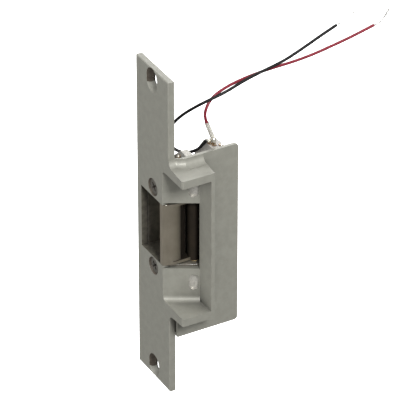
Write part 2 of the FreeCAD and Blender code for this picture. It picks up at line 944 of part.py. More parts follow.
def coil_yoke():
    """The steel strap bent round the coil."""
    right = ("frame_right - yoke_thick", "frame_right")
    across = ("coil_y - yoke_half", "coil_y + yoke_half")
    left = "coil_x - coil_flange - 0.6"
    deck_face = "deck + frame_plate"
    parts = [
        block("yoke_base", (left, right[1]), across, (deck_face, "coil_low")),
        block("yoke_back", right, across, (deck_face, "coil_high + yoke_thick")),
        block("yoke_top", (left, right[1]), across, ("coil_high", "coil_high + yoke_thick")),
    ]
    centre = ("coil_x", "coil_y")
    tools = [
        rod("yoke_way", centre, ("deck", "coil_low + 1"), "plunger_body + 0.4"),
        rod("yoke_seat", centre, ("coil_high - 1", "coil_high + 5"), "plunger_body"),
    ]
    for index, (x, y) in enumerate(COIL_SCREWS):
        span = ("deck", "coil_low + 1")
        tools.append(rod(f"yoke_tap{index}", (x, y), span, "coil_screw + 0.05"))
    return less("coil_yoke", joined("yoke_blank", parts), tools)


def coil_stop():
    """The fixed core that the plunger rises to meet."""
    low = "plunger_top + plunger_travel + 0.2"
    high = "coil_high + yoke_thick"
    corners = [("0", low), ("plunger_body", low), ("plunger_body", high), ("0", high)]
    return turned("coil_stop", corners, x="coil_x", y="coil_y")


def coil_screws():
    screws = []
    for index, (x, y) in enumerate(COIL_SCREWS):
        head = rod(f"coil_head{index}", (x, y), ("deck - head_tall", "deck"), "2")
        shank = rod(f"coil_shank{index}", (x, y), ("deck", "coil_low"), "coil_screw")
        screws.append(joined(f"coil_screw{index}", [head, shank]))
    return group("coil_screws", screws)


# ---------------------------------------------------------------- terminals and leads


def terminal_block():
    """The moulded head of the coil that carries the solder tags."""
    foot = "coil_high + yoke_thick"
    corners = [
        ("coil_y - yoke_half", foot),
        ("block_back", foot),
        ("block_back", "block_top - 2.5"),
        ("block_crown", "block_top"),
        ("block_brow", "block_top"),
        ("block_front", "block_top - 6"),
        ("block_front", "block_top - 9"),
        ("coil_y - yoke_half", "block_top - 9"),
    ]
    return prism("terminal_block", corners, ("block_left", "frame_right"), "x")


def terminal_tags():
    """Two flat solder tags that stand on the terminal head."""
    tags = []
    for name, across, front, tall in TAGS:
        thick = (front, f"{front} + tag_thick")
        tags.append(block(name, across, thick, ("block_top", f"block_top + {tall}")))
    return group("terminal_tags", tags)


# Each solder tag: its sides in X, its front in Y and its height.
TAGS = (("tag_red", ("13.4", "16.6"), "25.6", "3.2"), ("tag_black", ("11", "14"), "24.2", "2"))


def lead_bracket():
    """The folded tab behind the faceplate that keeps the leads off the mechanism."""
    leg = block(
        "bracket_leg",
        ("bracket_left", "bracket_left + bracket_leg"),
        ("0", "bracket_thick"),
        ("bracket_foot", "bracket_fold + 0.3"),
    )
    corners = [
        ("0", "bracket_fold"),
        ("bracket_thick", "bracket_fold"),
        ("tab_bend", "bracket_fold + tab_rise"),
        ("tab_end", "bracket_fold + tab_rise"),
        ("tab_end", "bracket_fold + tab_rise + bracket_thick"),
        ("tab_bend - 0.2", "bracket_fold + tab_rise + bracket_thick"),
        ("0", "bracket_fold + 0.6"),
    ]
    tab = prism("bracket_tab", corners, ("bracket_left", "bracket_right"), "x")
    beside_lip = [
        ("notch_edge - flare_wall - 1", "-4"),
        ("notch_edge - flare_wall - 1 + 17 * 0.57", "13"),
        ("40", "13"),
        ("40", "-4"),
    ]
    lip_room = prism("bracket_lip_room", beside_lip, ("40", "notch_half + lip_thick + 0.3"))
    span = ("-1", "bracket_thick + 1")
    hole = rod("bracket_hole", BRACKET_SCREW, span, "1.3", "y")
    return less("lead_bracket", joined("bracket_blank", [leg, tab]), [hole, lip_room])


BRACKET_SCREW = ("bracket_left + bracket_leg / 2", "bracket_foot + 4")


def bracket_screw():
    """A round-headed screw through the bracket's upright leg."""
    span = ("bracket_thick", "bracket_thick + head_tall")
    head = rod("bracket_head", BRACKET_SCREW, span, "1.65", "y")
    shank = rod("bracket_shank", BRACKET_SCREW, ("0", "bracket_thick"), "1.2", "y")
    return joined("bracket_screw", [head, shank])


def eyelets():
    """The hollow rivets on the bracket's tab and on the terminal head."""
    rivets = []
    for index, (foot, normal) in enumerate(EYELETS):
        start = Vector(*foot)
        end = start + Vector(*normal).normalize() * 0.6
        rivets.append(straight_tube(f"eyelet{index}", start, end, "eyelet_radius", "eyelet_bore"))
    return group("eyelets", rivets)


# The middle of each eyelet's foot and the slope that it stands on.
EYELETS = (
    ((10.2, 6.7, 47.45), (0, -3.6, 9.9)),
    ((16.2, 29.9, 51.05), (0, 2.5, 5.8)),
)
SLEEVE_FOOT = Vector(15.0, 25.8, 56.0)
SLEEVE_HEAD = Vector(15.0, 21.6, 67.6)

# Route points of the two leads, each from its solder joint to its stripped end.
RED_ROUTE = (
    (15.0, 22.2, 65.9),
    (15.0, 20.2, 71.4),
    (14.5, 21.7, 77.0),
    (13.3, 26.1, 81.5),
    (12.0, 34.5, 84.2),
    (11.0, 44.0, 85.6),
    (10.4, 55.0, 86.6),
    (10.0, 67.0, 86.9),
    (10.0, 79.0, 87.1),
    (10.2, 91.0, 88.3),
    (10.0, 103.0, 90.2),
    (10.1, 116.8, 92.8),
    (10.0, 130.0, 96.0),
)
BLACK_ROUTE = (
    (12.4, 23.0, 54.4),
    (10.8, 20.2, 49.7),
    (8.1, 16.4, 46.7),
    (5.0, 11.8, 46.0),
    (2.3, 7.7, 48.5),
    (0.9, 5.0, 53.6),
    (1.4, 4.9, 59.8),
    (3.8, 7.6, 66.2),
    (7.9, 11.6, 72.4),
    (13.0, 15.6, 78.0),
    (17.0, 21.6, 82.6),
    (18.0, 31.5, 85.2),
    (17.4, 43.0, 88.8),
    (16.6, 55.2, 91.0),
    (16.0, 69.0, 93.2),
    (15.0, 83.5, 98.0),
    (14.4, 93.4, 101.8),
    (14.0, 103.4, 105.3),
)
RED_TIP = ((10.0, 130.0, 96.0), (10.0, 134.3, 96.6), (10.0, 137.0, 99.6), (10.0, 139.8, 103.9))
BLACK_TIP = ((14.0, 103.4, 105.3), (14.0, 107.6, 107.0), (14.0, 114.5, 110.7))


def lead_path(route):
    """Straight runs joined by tangent arcs as large as the two runs allow."""
    points = [Vector(*point) for point in route]
    edges = []
    radii = []
    start = points[0]
    for before, corner, after in zip(points, points[1:], points[2:]):
        arriving = (corner - before).normalize()
        leaving = (after - corner).normalize()
        half_turn = arriving.getAngle(leaving) / 2
        back = 0.45 * min((corner - before).Length, (after - corner).Length)
        radius = back / math.tan(half_turn)
        first = corner - arriving * back
        last = corner + leaving * back
        centre_way = (leaving - arriving).normalize()
        centre = corner + centre_way * (radius / math.cos(half_turn))
        middle = centre - centre_way * radius
        edges.append(Part.LineSegment(start, first).toShape())
        edges.append(Part.Arc(first, middle, last).toShape())
        radii.append(radius)
        start = last
    edges.append(Part.LineSegment(start, points[-1]).toShape())
    return Part.Wire(edges), radii


def lead(name, route, radius_name):
    """A round wire along its route."""
    path, radii = lead_path(route)
    radius = size(radius_name)
    start = Vector(*route[0])
    heading = Vector(*route[1]) - start
    section = Part.Wire(Part.makeCircle(radius, start, heading))
    solid = path.makePipeShell([section], True, False)
    feature = doc.addObject("Part::Feature", name)
    feature.Shape = solid
    expected = math.pi * radius**2 * path.Length
    listed = ", ".join(f"{bend:.1f}" for bend in radii)
    print(f"{name}: length {path.Length:.1f}, volume ratio {solid.Volume / expected:.4f}")
    print(f"{name}: bend radii {listed}")
    return feature


def straight_tube(name, start, end, radius_name, bore_name=None):
    """A straight round bar, or a tube where it has a bore."""
    solids = []
    for label, radius in ((f"{name}_outer", radius_name), (f"{name}_bore", bore_name)):
        if radius:
            cylinder = doc.addObject("Part::Cylinder", label)
            bind(cylinder, "Radius", radius)
            cylinder.Height = (end - start).Length
            cylinder.Placement = Placement(start, Rotation(Vector(0, 0, 1), end - start))
            solids.append(cylinder)
    return less(name, solids[0], solids[1:]) if bore_name else solids[0]


# ---------------------------------------------------------------- assembly


def springs():
    gap = "deck + frame_plate + 1.6"
    pivot = ("pivot_x", "pivot_y")
    turned_up = mirrored_span(gap, f"{gap} + 6", -1)
    lever = ("lever_x", "lever_y")
    core = ("coil_x", "coil_y")
    travel = ("plunger_top - plunger_bore_deep", "plunger_top + plunger_travel + 0.2")
    return {
        "keeper_spring": sleeve_of("spring_k", pivot, turned_up, ("pin_radius + 0.4", "4.1")),
        "lever_spring": sleeve_of("spring_l", lever, ("-12", "0"), ("lever_barrel + 0.2", "4.6")),
        "plunger_spring": sleeve_of("spring_p", core, travel, ("1.3", "2.1")),
    }


def winding():
    span = ("coil_low + 1.05", "coil_high - 1.05")
    radii = ("coil_tube + 0.05", "coil_wound")
    return sleeve_of("winding", ("coil_x", "coil_y"), span, radii)


def subparts():
    along = (SLEEVE_HEAD - SLEEVE_FOOT).normalize()
    pins = both_ends("keeper_pin", keeper_pin)
    made = {
        "cast_body": cast_body(),
        "side_cover": side_cover(),
        "cover_screws": cover_screws(),
        "mechanism_frame": mechanism_frame(),
        "frame_screws": frame_screws(),
        "latch_stop": latch_stop(),
        "keeper": keeper(),
        "keeper_pin_upper": pins[0],
        "keeper_pin_lower": pins[1],
        "keeper_washers": keeper_washers(),
        "locking_lever": locking_lever(),
        "lever_pin": lever_pin(),
        "plunger": plunger(),
        "coil_bobbin": coil_bobbin(),
        "coil_winding": winding(),
        "coil_yoke": coil_yoke(),
        "coil_stop": coil_stop(),
        "coil_screws": coil_screws(),
        "terminal_block": terminal_block(),
        "terminal_tags": terminal_tags(),
        "lead_bracket": lead_bracket(),
        "bracket_screw": bracket_screw(),
        "eyelets": eyelets(),
        "clear_sleeve": straight_tube(
            "sleeve", SLEEVE_FOOT, SLEEVE_HEAD, "sleeve_radius", "sleeve_bore"
        ),
        "red_core": straight_tube(
            "core", SLEEVE_FOOT - along, Vector(*RED_ROUTE[0]), "strand_radius"
        ),
        "red_lead": lead("red_wire", RED_ROUTE, "lead_radius"),
        "red_lead_tip": lead("red_strands", RED_TIP, "strand_radius"),
        "black_lead": lead("black_wire", BLACK_ROUTE, "lead_radius"),
        "black_lead_tip": lead("black_strands", BLACK_TIP, "strand_radius"),
    }
    made.update(springs())
    return made


def main():
    made = subparts()
    doc.recompute()
    failed = [item.Name for item in doc.Objects if {"Invalid", "Error"} & set(item.State)]
    if failed:
        raise RuntimeError(f"these features failed: {failed}")
    os.makedirs("parts", exist_ok=True)
    for node, feature in made.items():
        feature.Label = node
        shape = feature.Shape
        if shape.isNull() or not shape.isValid() or not shape.Solids:
            raise RuntimeError(f"{node} has no valid solid")
        shape.exportStep(f"parts/{node}.step")
    print(f"{len(made)} sub-parts written")


main()
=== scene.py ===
"""Looks of the electric door strike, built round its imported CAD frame."""

import math
import random
from collections import namedtuple

import bmesh
import bpy
from mathutils import Matrix, Vector, noise


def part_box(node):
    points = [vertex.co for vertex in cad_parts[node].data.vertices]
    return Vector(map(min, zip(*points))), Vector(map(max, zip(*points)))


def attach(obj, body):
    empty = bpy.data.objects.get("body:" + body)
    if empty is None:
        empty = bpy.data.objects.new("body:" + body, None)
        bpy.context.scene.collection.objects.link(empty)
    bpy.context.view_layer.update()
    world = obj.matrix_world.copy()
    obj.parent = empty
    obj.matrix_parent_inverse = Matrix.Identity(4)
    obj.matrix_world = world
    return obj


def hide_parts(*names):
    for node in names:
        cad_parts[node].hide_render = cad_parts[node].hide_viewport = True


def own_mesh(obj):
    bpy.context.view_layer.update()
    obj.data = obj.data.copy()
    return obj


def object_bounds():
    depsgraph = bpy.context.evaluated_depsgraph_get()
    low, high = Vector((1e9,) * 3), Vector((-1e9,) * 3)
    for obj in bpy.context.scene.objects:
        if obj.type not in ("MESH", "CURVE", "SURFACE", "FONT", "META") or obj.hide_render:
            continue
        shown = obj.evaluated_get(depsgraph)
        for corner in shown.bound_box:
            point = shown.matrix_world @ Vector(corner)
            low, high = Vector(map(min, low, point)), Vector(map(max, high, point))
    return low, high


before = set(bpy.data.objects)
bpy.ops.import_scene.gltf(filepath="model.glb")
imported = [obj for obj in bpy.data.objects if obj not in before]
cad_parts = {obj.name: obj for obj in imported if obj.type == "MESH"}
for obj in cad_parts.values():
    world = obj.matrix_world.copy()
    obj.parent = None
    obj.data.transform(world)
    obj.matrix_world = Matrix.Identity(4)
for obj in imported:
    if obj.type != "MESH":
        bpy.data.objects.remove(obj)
cad_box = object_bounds()

MM = 0.001
BODY = "strike_body"
X, Y, Z = 0, 1, 2
scene = bpy.context.scene
scene.view_settings.view_transform = "Standard"
random.seed(7)


# ------------------------------------------------------------------ camera, floor, light


def add_object(name, data):
    """A new object in the scene that shows a mesh, a curve, a light or a camera."""
    piece = bpy.data.objects.new(name, data)
    scene.collection.objects.link(piece)
    return piece


def facing(right, up, back, place):
    """The matrix of an object whose own axes lie along these directions."""
    turn = Matrix((right, up, back)).transposed().to_4x4()
    return Matrix.Translation(place) @ turn


# A long lens, 61 degrees round from the face and 32 degrees above it.
FOCAL_LENGTH = 312.4
TO_CAMERA = (0.7382, -0.4095, 0.5361)
CAMERA_PLACE = (1.4219, -0.7629, 1.0408)


def set_camera():
    lens = bpy.data.cameras.new("long_lens")
    lens.sensor_fit = "HORIZONTAL"
    lens.sensor_width = 36
    lens.lens = FOCAL_LENGTH
    lens.clip_start = 0.1
    lens.clip_end = 20
    camera = add_object("camera", lens)
    back = Vector(TO_CAMERA).normalized()
    right = Vector((0, 0, 1)).cross(back).normalized()
    camera.matrix_world = facing(right, back.cross(right), back, CAMERA_PLACE)
    scene.camera = camera


FLOOR_SIZE = 6
DROP_TO_FLOOR = 0.12


def set_floor():
    """A plain floor well under the part, which lights and mirrors nothing."""
    bpy.ops.mesh.primitive_grid_add(x_subdivisions=8, y_subdivisions=8, size=FLOOR_SIZE)
    floor = bpy.context.active_object
    floor.name = "studio_floor"
    floor.location.z = cad_box[0][Z] - DROP_TO_FLOOR
    floor.data.materials.append(FLOOR)
    floor.visible_diffuse = False
    floor.visible_glossy = False


WORLD_BELOW = (0.42, 0.42, 0.41, 1)
WORLD_ABOVE = (0.95, 0.95, 0.95, 1)
WORLD_ABOVE_FROM = 0.8
WORLD_STRENGTH = 0.66


def set_world():
    """Even surroundings, paler above than below."""
    world = bpy.data.worlds.new("studio")
    scene.world = world
    world.use_nodes = True
    nodes, links = world.node_tree.nodes, world.node_tree.links
    spot = nodes.new("ShaderNodeTexCoord")
    ramp = nodes.new("ShaderNodeValToRGB")
    split = nodes.new("ShaderNodeSeparateXYZ")
    links.new(spot.outputs["Generated"], split.inputs[0])
    links.new(split.outputs["Z"], ramp.inputs["Fac"])
    below, above = ramp.color_ramp.elements
    below.position = 0.0
    below.color = WORLD_BELOW
    above.position = WORLD_ABOVE_FROM
    above.color = WORLD_ABOVE
    links.new(ramp.outputs["Color"], nodes["Background"].inputs["Color"])
    nodes["Background"].inputs["Strength"].default_value = WORLD_STRENGTH


# Square lights that face the origin: name, place and side in metres, watts.
LIGHTS = (
    ("high_side_softbox", (1.05, -0.12, 0.90), 0.35, 21),
    ("low_front_fill", (-0.25, -1.3, 0.05), 0.9, 11),
    ("rear_fill", (-0.9, 0.95, 0.5), 0.9, 13),
)
# Nearly along Y, and along no light's own direction.
LIGHT_SIDEWAYS = Vector((0, 1, 0.01))


def set_lights():
    for name, place, side, watts in LIGHTS:
        light = bpy.data.lights.new(name, "AREA")
        light.shape = "RECTANGLE"
        light.size = side
        light.size_y = side
        light.energy = watts
        lamp = add_object(name, light)
        back = Vector(place).normalized()
        right = LIGHT_SIDEWAYS.cross(back).normalized()
        lamp.matrix_world = facing(right, back.cross(right), back, place)


# ------------------------------------------------------------------ materials


def node_of(tree, kind, **values):
    """A new node with its inputs, or its settings, given by name."""
    node = tree.nodes.new(kind)
    for name, value in values.items():
        if name in node.inputs:
            node.inputs[name].default_value = value
        else:
            setattr(node, name, value)
    return node


def speckle(tree, scale, stretch=(1, 1, 1)):
    """A noise in the object's own space; scale is in grains per metre."""
    spot = node_of(tree, "ShaderNodeTexCoord")
    lay = node_of(tree, "ShaderNodeMapping", Scale=stretch)
    grain = node_of(tree, "ShaderNodeTexNoise", Scale=scale, Detail=3.0)
    tree.links.new(spot.outputs["Object"], lay.inputs["Vector"])
    tree.links.new(lay.outputs["Vector"], grain.inputs["Vector"])
    return grain.outputs["Fac"]


def spread(tree, source, low, high, start=0.3, end=0.7):
    """Maps a noise to a range of plain numbers."""
    ranged = node_of(tree, "ShaderNodeMapRange")
    for name, value in (("From Min", start), ("From Max", end), ("To Min", low), ("To Max", high)):
        ranged.inputs[name].default_value = value
    tree.links.new(source, ranged.inputs["Value"])
    return ranged.outputs["Result"]


def tinted(colour, factor):
    """An opaque colour that is darker or lighter by a factor."""
    return tuple(min(1.0, channel * factor) for channel in colour) + (1.0,)


PATCH_START = 0.35
PATCH_END = 0.65
# How near another surface has to be to shut a spot in, in metres, for the painted shade in corners.
CORNER_REACH = 0.022
SHUT_IN = 0.25
OPEN = 0.8
# A colour Mix node's own sockets, which share their names with its plain ones.
MIX_FACTOR, MIX_A, MIX_B = 0, 6, 7
MIX_RESULT = 2


def patchy(tree, colour, patch, patch_scale):
    """A colour that is a little darker in some places and lighter in others."""
    ramp = node_of(tree, "ShaderNodeValToRGB")
    dark, light = ramp.color_ramp.elements
    dark.position = PATCH_START
    light.position = PATCH_END
    dark.color = tinted(colour, 1 - patch)
    light.color = tinted(colour, 1 + patch)
    tree.links.new(speckle(tree, patch_scale), ramp.inputs["Fac"])
    return ramp.outputs["Color"]


def painted_corner_shade(tree, shade, corner_shade):
    """The same colour, darker by a share where the surface is shut in: painted shade in corners and
    recesses.
    """
    shut = node_of(tree, "ShaderNodeAmbientOcclusion", samples=8, Distance=CORNER_REACH)
    shut_in = spread(tree, shut.outputs["AO"], 1 - corner_shade, 1.0, SHUT_IN, OPEN)
    mixed = node_of(tree, "ShaderNodeMix", data_type="RGBA", blend_type="MULTIPLY")
    mixed.inputs[MIX_FACTOR].default_value = 1.0
    tree.links.new(shade, mixed.inputs[MIX_A])
    tree.links.new(shut_in, mixed.inputs[MIX_B])
    return mixed.outputs[MIX_RESULT]


def finish(
    name,
    colour,
    metallic,
    roughness,
    patch=0.08,
    patch_scale=180,
    grain=(2600, (1, 1, 1)),
    bump=0.12,
    bump_depth=0.00004,
    gloss_change=0.08,
    corner_shade=0.0,
    **shader,
):
    """A surface whose colour, gloss and relief all vary as the real finish does, and whose shut-in
    corners can be darkened as painted shade.
    """
    material = bpy.data.materials.new(name)
    material.use_nodes = True
    tree = material.node_tree
    surface = tree.nodes["Principled BSDF"]
    surface.inputs["Metallic"].default_value = metallic
    for socket, value in shader.items():
        surface.inputs[socket.replace("_", " ")].default_value = value
    shade = patchy(tree, colour, patch, patch_scale)
    # Painted shade: darker where other surfaces shut the spot in.
    if corner_shade:
        shade = painted_corner_shade(tree, shade, corner_shade)
    tree.links.new(shade, surface.inputs["Base Color"])
    fine = speckle(tree, *grain)
    gloss = spread(tree, fine, roughness - gloss_change, roughness + gloss_change)
    tree.links.new(gloss, surface.inputs["Roughness"])
    relief = node_of(tree, "ShaderNodeBump", Strength=bump, Distance=bump_depth)
    tree.links.new(fine, relief.inputs["Height"])
    tree.links.new(relief.outputs["Normal"], surface.inputs["Normal"])
    return material


# Grains per metre, and the share of them that lies along X, Y and Z.
BRUSHED_UP = (2200, (1, 1, 0.04))
BRUSHED_ACROSS = (2200, (0.05, 1, 1))
FLOOR = finish(
    "pale_floor", (0.93, 0.93, 0.93), 0, 0.85, patch=0.01, patch_scale=3, bump=0.02,
    Emission_Color=(1, 1, 1, 1), Emission_Strength=0.9,
)
# The grey paint is darkened in its corners and recesses as painted shade.
PAINT = finish(
    "satin_grey_paint", (0.275, 0.272, 0.236), 0.2, 0.44, patch=0.05, patch_scale=260,
    grain=(1500, (1, 1, 1)), bump=0.22, bump_depth=0.00005, corner_shade=0.75,
)
# Lighter paint on the rounded edges: partly paint worn thin, partly a painted highlight along the
# edges.
PAINT_EDGE_WEAR_AND_HIGHLIGHT = finish(
    "thin_paint_edge_and_painted_highlight", (0.56, 0.545, 0.50), 0.5, 0.32, patch=0.12, patch_scale=700,
    bump=0.1, corner_shade=0.3,
)
NICKEL = finish(
    "warm_nickel", (0.36, 0.32, 0.255), 0.85, 0.40, patch=0.07, patch_scale=120,
    grain=BRUSHED_UP, bump=0.3, bump_depth=0.00003, corner_shade=0.35,
)
# Dark brown for the mounting slots and screw sinks: partly bare metal, partly painted shade on
# faces turned from the light.
BARE_METAL_AND_SHADE = finish(
    "bare_countersink_and_painted_shade", (0.085, 0.070, 0.054), 0.3, 0.5, patch=0.2, patch_scale=500,
    grain=(3000, (1, 8, 1)), corner_shade=0.5,
)
# Painted shade on the sides of the plate's latch opening.
SHADOWED_CUT = finish(
    "painted_shade_cut", (0.14, 0.13, 0.105), 0.3, 0.5, patch=0.2, patch_scale=300, corner_shade=0.5,
)
# Near-black painted shade inside the keeper's hollow.
SHADED_HOLLOW = finish(
    "painted_shade_hollow", (0.016, 0.011, 0.006), 0.0, 0.7, patch=0.25, patch_scale=200,
    grain=BRUSHED_UP, corner_shade=0.5, Specular_IOR_Level=0.25,
)
# Lighter nickel on the keeper's rounded edges: partly rubbed metal, partly a painted highlight.
NICKEL_EDGE = finish(
    "rubbed_nickel_and_painted_highlight", (0.66, 0.64, 0.60), 1.0, 0.28, patch=0.1, grain=BRUSHED_UP,
)
ZINC = finish(
    "zinc_plate", (0.50, 0.50, 0.49), 0.9, 0.40, patch=0.05, patch_scale=260,
    grain=BRUSHED_ACROSS, bump=0.14, corner_shade=0.3,
)
# Lighter steel on rounded edges: partly bright sheared metal, partly a painted highlight.
STEEL_EDGE = finish("sheared_steel_and_painted_highlight", (0.66, 0.66, 0.65), 1.0, 0.30, patch=0.1)
FRAME_STEEL = finish(
    "frame_steel", (0.30, 0.28, 0.235), 0.7, 0.44, patch=0.16, patch_scale=300,
    corner_shade=0.4,
)
PIN_STEEL = finish(
    "ground_pin", (0.60, 0.60, 0.60), 1.0, 0.24, patch=0.04, grain=(3000, (1, 1, 8)),
)
DARK_STEEL = finish(
    "hardened_steel", (0.16, 0.155, 0.15), 0.9, 0.40, patch=0.2, corner_shade=0.3,
)
SCREW = finish(
    "screw_plating", (0.27, 0.255, 0.225), 1.0, 0.34, patch=0.14, patch_scale=900, corner_shade=0.6,
)
# Painted shade deep in a countersunk screw's cross.
SHADED_RECESS = finish("painted_shade_recess", (0.035, 0.028, 0.020), 0.3, 0.5, patch=0.2)
BRASS = finish("tinned_brass", (0.60, 0.50, 0.33), 1.0, 0.33, patch=0.2, patch_scale=600)
BRACKET = finish(
    "dull_tin_plate", (0.36, 0.35, 0.32), 0.8, 0.40, patch=0.14, patch_scale=500, corner_shade=0.4,
)
# A painted highlight along the bracket's rounded edges.
BRACKET_EDGE = finish("tin_edge_painted_highlight", (0.92, 0.89, 0.80), 0.9, 0.30, patch=0.08)
EYELET = finish("dull_brass", (0.24, 0.165, 0.10), 1.0, 0.34, patch=0.15, patch_scale=700)
# A painted highlight along the terminal tags' rounded edges.
BRASS_EDGE = finish("brass_edge_painted_highlight", (0.86, 0.80, 0.66), 1.0, 0.25, patch=0.1)
WASHER_BRASS = finish("washer_brass", (0.30, 0.23, 0.13), 1.0, 0.40, patch=0.1)
SPRING_STEEL = finish("spring_wire", (0.30, 0.30, 0.31), 1.0, 0.30, patch=0.08)
IRON = finish("plunger_iron", (0.45, 0.44, 0.41), 1.0, 0.32, patch=0.1, grain=(3000, (1, 1, 8)))
BLACK_NYLON = finish(
    "black_nylon", (0.022, 0.022, 0.023), 0, 0.42, patch=0.15, bump=0.2, corner_shade=0.2,
)
COPPER = finish(
    "enamelled_copper", (0.42, 0.13, 0.045), 0.75, 0.26, patch=0.18, patch_scale=500,
    grain=(2500, (1, 1, 6)), Coat_Weight=0.6, Coat_Roughness=0.15,
)
MOULDING = finish(
    "coil_head_moulding", (0.30, 0.285, 0.265), 0, 0.5, patch=0.14, patch_scale=420,
    grain=(1800, (1, 1, 1)), bump=0.4, bump_depth=0.00008, corner_shade=0.4,
)
# A painted highlight along the terminal block's rounded edges.
MOULDING_EDGE = finish("moulding_edge", (0.40, 0.375, 0.345), 0, 0.42, patch=0.1)
SOLDER = finish(
    "solder", (0.86, 0.83, 0.74), 0.85, 0.28, patch=0.08, patch_scale=900, bump=0.2,
)
FLUX = finish("amber_flux", (0.15, 0.095, 0.06), 0, 0.2, patch=0.25, patch_scale=900)
TINNED = finish(
    "tinned_strands", (0.74, 0.73, 0.70), 1.0, 0.28, patch=0.08, patch_scale=900,
)
SLEEVE = finish(
    "clear_sleeve", (0.80, 0.78, 0.72), 0, 0.12, patch=0.03, bump=0.05, gloss_change=0.04,
    Transmission_Weight=0.55, IOR=1.5,
)
RED_PVC = finish(
    "red_insulation", (0.200, 0.010, 0.024), 0, 0.38, patch=0.1, patch_scale=300,
    bump=0.1, bump_depth=0.00002,
)
BLACK_PVC = finish(
    "black_insulation", (0.006, 0.0055, 0.006), 0, 0.55, patch=0.15, patch_scale=300,
    bump=0.1, bump_depth=0.00002, Specular_IOR_Level=0.25,
)


# ------------------------------------------------------------------ mesh helpers


WELD = 0.002 * MM
SLIVER = 0.0016 * MM
# Angles in degrees: neighbouring faces this flat are made one, and edges this sharp are rounded.
FLAT_WITHIN = 0.4
SHARP_EDGE = 32
# The places of a softened piece's two finishes in its list of materials.
FACE_FINISH, EDGE_FINISH = 0, 1
ON_AXIS = 1e-6


def shaded(mesh, sharp=35):
    """Smooth shading, broken at edges sharper than an angle in degrees."""
    mesh.shade_smooth()
    mesh.set_sharp_from_angle(angle=math.radians(sharp))


def settled(piece):
    """Applies the piece's modifiers to its mesh."""
    graph = bpy.context.evaluated_depsgraph_get()
    mesh = bpy.data.meshes.new_from_object(piece.evaluated_get(graph))
    piece.modifiers.clear()
    piece.data = mesh


def drop_slivers(mesh):
    """Takes out faces that have no area."""
    shape = bmesh.new()
    shape.from_mesh(mesh)
    bmesh.ops.dissolve_degenerate(shape, dist=SLIVER, edges=shape.edges)
    shape.to_mesh(mesh)
    shape.free()


def soften_edges(piece, edge_round, steps):
    """Rounds every sharp edge and gives the rounding the piece's second material, which, where it
    is lighter, paints a highlight along the edge.
    """
    bevel = piece.modifiers.new("edge_round", "BEVEL")
    bevel.limit_method = "ANGLE"
    bevel.angle_limit = math.radians(SHARP_EDGE)
    bevel.width = edge_round * MM
    bevel.segments = steps
    bevel.use_clamp_overlap = True
    bevel.material = EDGE_FINISH
    weighted = piece.modifiers.new("flat_faces", "WEIGHTED_NORMAL")
    weighted.keep_sharp = True
    weighted.weight = 100
    settled(piece)


def cad_copy(node, name, face_finish, edge_finish):
    """A clean copy of a CAD node's mesh, with its flat faces made whole."""
    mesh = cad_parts[node].data.copy()
    mesh.materials.clear()
    mesh.materials.append(face_finish)
    mesh.materials.append(edge_finish)
    shape = bmesh.new()
    shape.from_mesh(mesh)
    for face in shape.faces:
        face.material_index = FACE_FINISH
    bmesh.ops.remove_doubles(shape, verts=shape.verts, dist=WELD)
    flat = math.radians(FLAT_WITHIN)
    bmesh.ops.dissolve_limit(shape, angle_limit=flat, verts=shape.verts, edges=shape.edges)
    shape.to_mesh(mesh)
    shape.free()
    # Stored normals belong to the faces as they were, so they are reset.
    if mesh.has_custom_normals:
        mesh.normals_split_custom_set([(0, 0, 0)] * len(mesh.loops))
    shaded(mesh)
    return add_object(name, mesh)


def lathed(name, outline, material, sides, closed_ring=False):
    """A solid turned about Z from (radius, height) pairs in millimetres."""
    shape = bmesh.new()
    rings = []
    for radius, height in outline:
        if radius < ON_AXIS:
            rings.append([shape.verts.new((0, 0, height * MM))])
            continue
        ring = []
        for step in range(sides):
            angle = math.tau * step / sides
            spot = (radius * math.cos(angle), radius * math.sin(angle), height)
            ring.append(shape.verts.new(Vector(spot) * MM))
        rings.append(ring)
    pairs = list(zip(rings, rings[1:]))
    if closed_ring:
        pairs.append((rings[-1], rings[0]))
    for low, high in pairs:
        for step in range(sides):
            after = (step + 1) % sides
            if len(low) == 1:
                shape.faces.new((low[0], high[after], high[step]))
            elif len(high) == 1:
                shape.faces.new((low[step], low[after], high[0]))
            else:
                shape.faces.new((low[step], low[after], high[after], high[step]))
    bmesh.ops.recalc_face_normals(shape, faces=shape.faces)
    mesh = bpy.data.meshes.new(name)
    shape.to_mesh(mesh)
    shape.free()
    mesh.materials.append(material)
    shaded(mesh)
    return add_object(name, mesh)


def aim(piece, place, axis):
    """Turns a mesh built along +Z to an axis and puts its origin at a place in millimetres."""
    turn = Vector((0, 0, 1)).rotation_difference(Vector(axis)).to_matrix().to_4x4()
    piece.data.transform(Matrix.Translation(Vector(place) * MM) @ turn)
    return piece


def merged(name, pieces):
    """One object from several, keeping each one's materials."""
    bpy.ops.object.select_all(action="DESELECT")
    for piece in pieces:
        piece.select_set(True)
    bpy.context.view_layer.objects.active = pieces[0]
    if len(pieces) > 1:
        bpy.ops.object.join()
    pieces[0].name = name
    return pieces[0]


def carve(piece, cutter):
    """Cuts the cutter out of the piece and removes it."""
    cut = piece.modifiers.new("carve", "BOOLEAN")
    cut.operation = "DIFFERENCE"
    cut.solver = "EXACT"
    cut.object = cutter
    bpy.context.view_layer.update()
    settled(piece)
    bpy.data.objects.remove(cutter)
    drop_slivers(piece.data)
    shaded(piece.data, sharp=30)


def refinish(piece, material, wanted):
    """Gives the faces whose middle passes the test another material."""
    piece.data.materials.append(material)
    number = len(piece.data.materials) - 1
    for face in piece.data.polygons:
        if wanted(face.center / MM, face.normal):
            face.material_index = number


# ------------------------------------------------------------------ cords


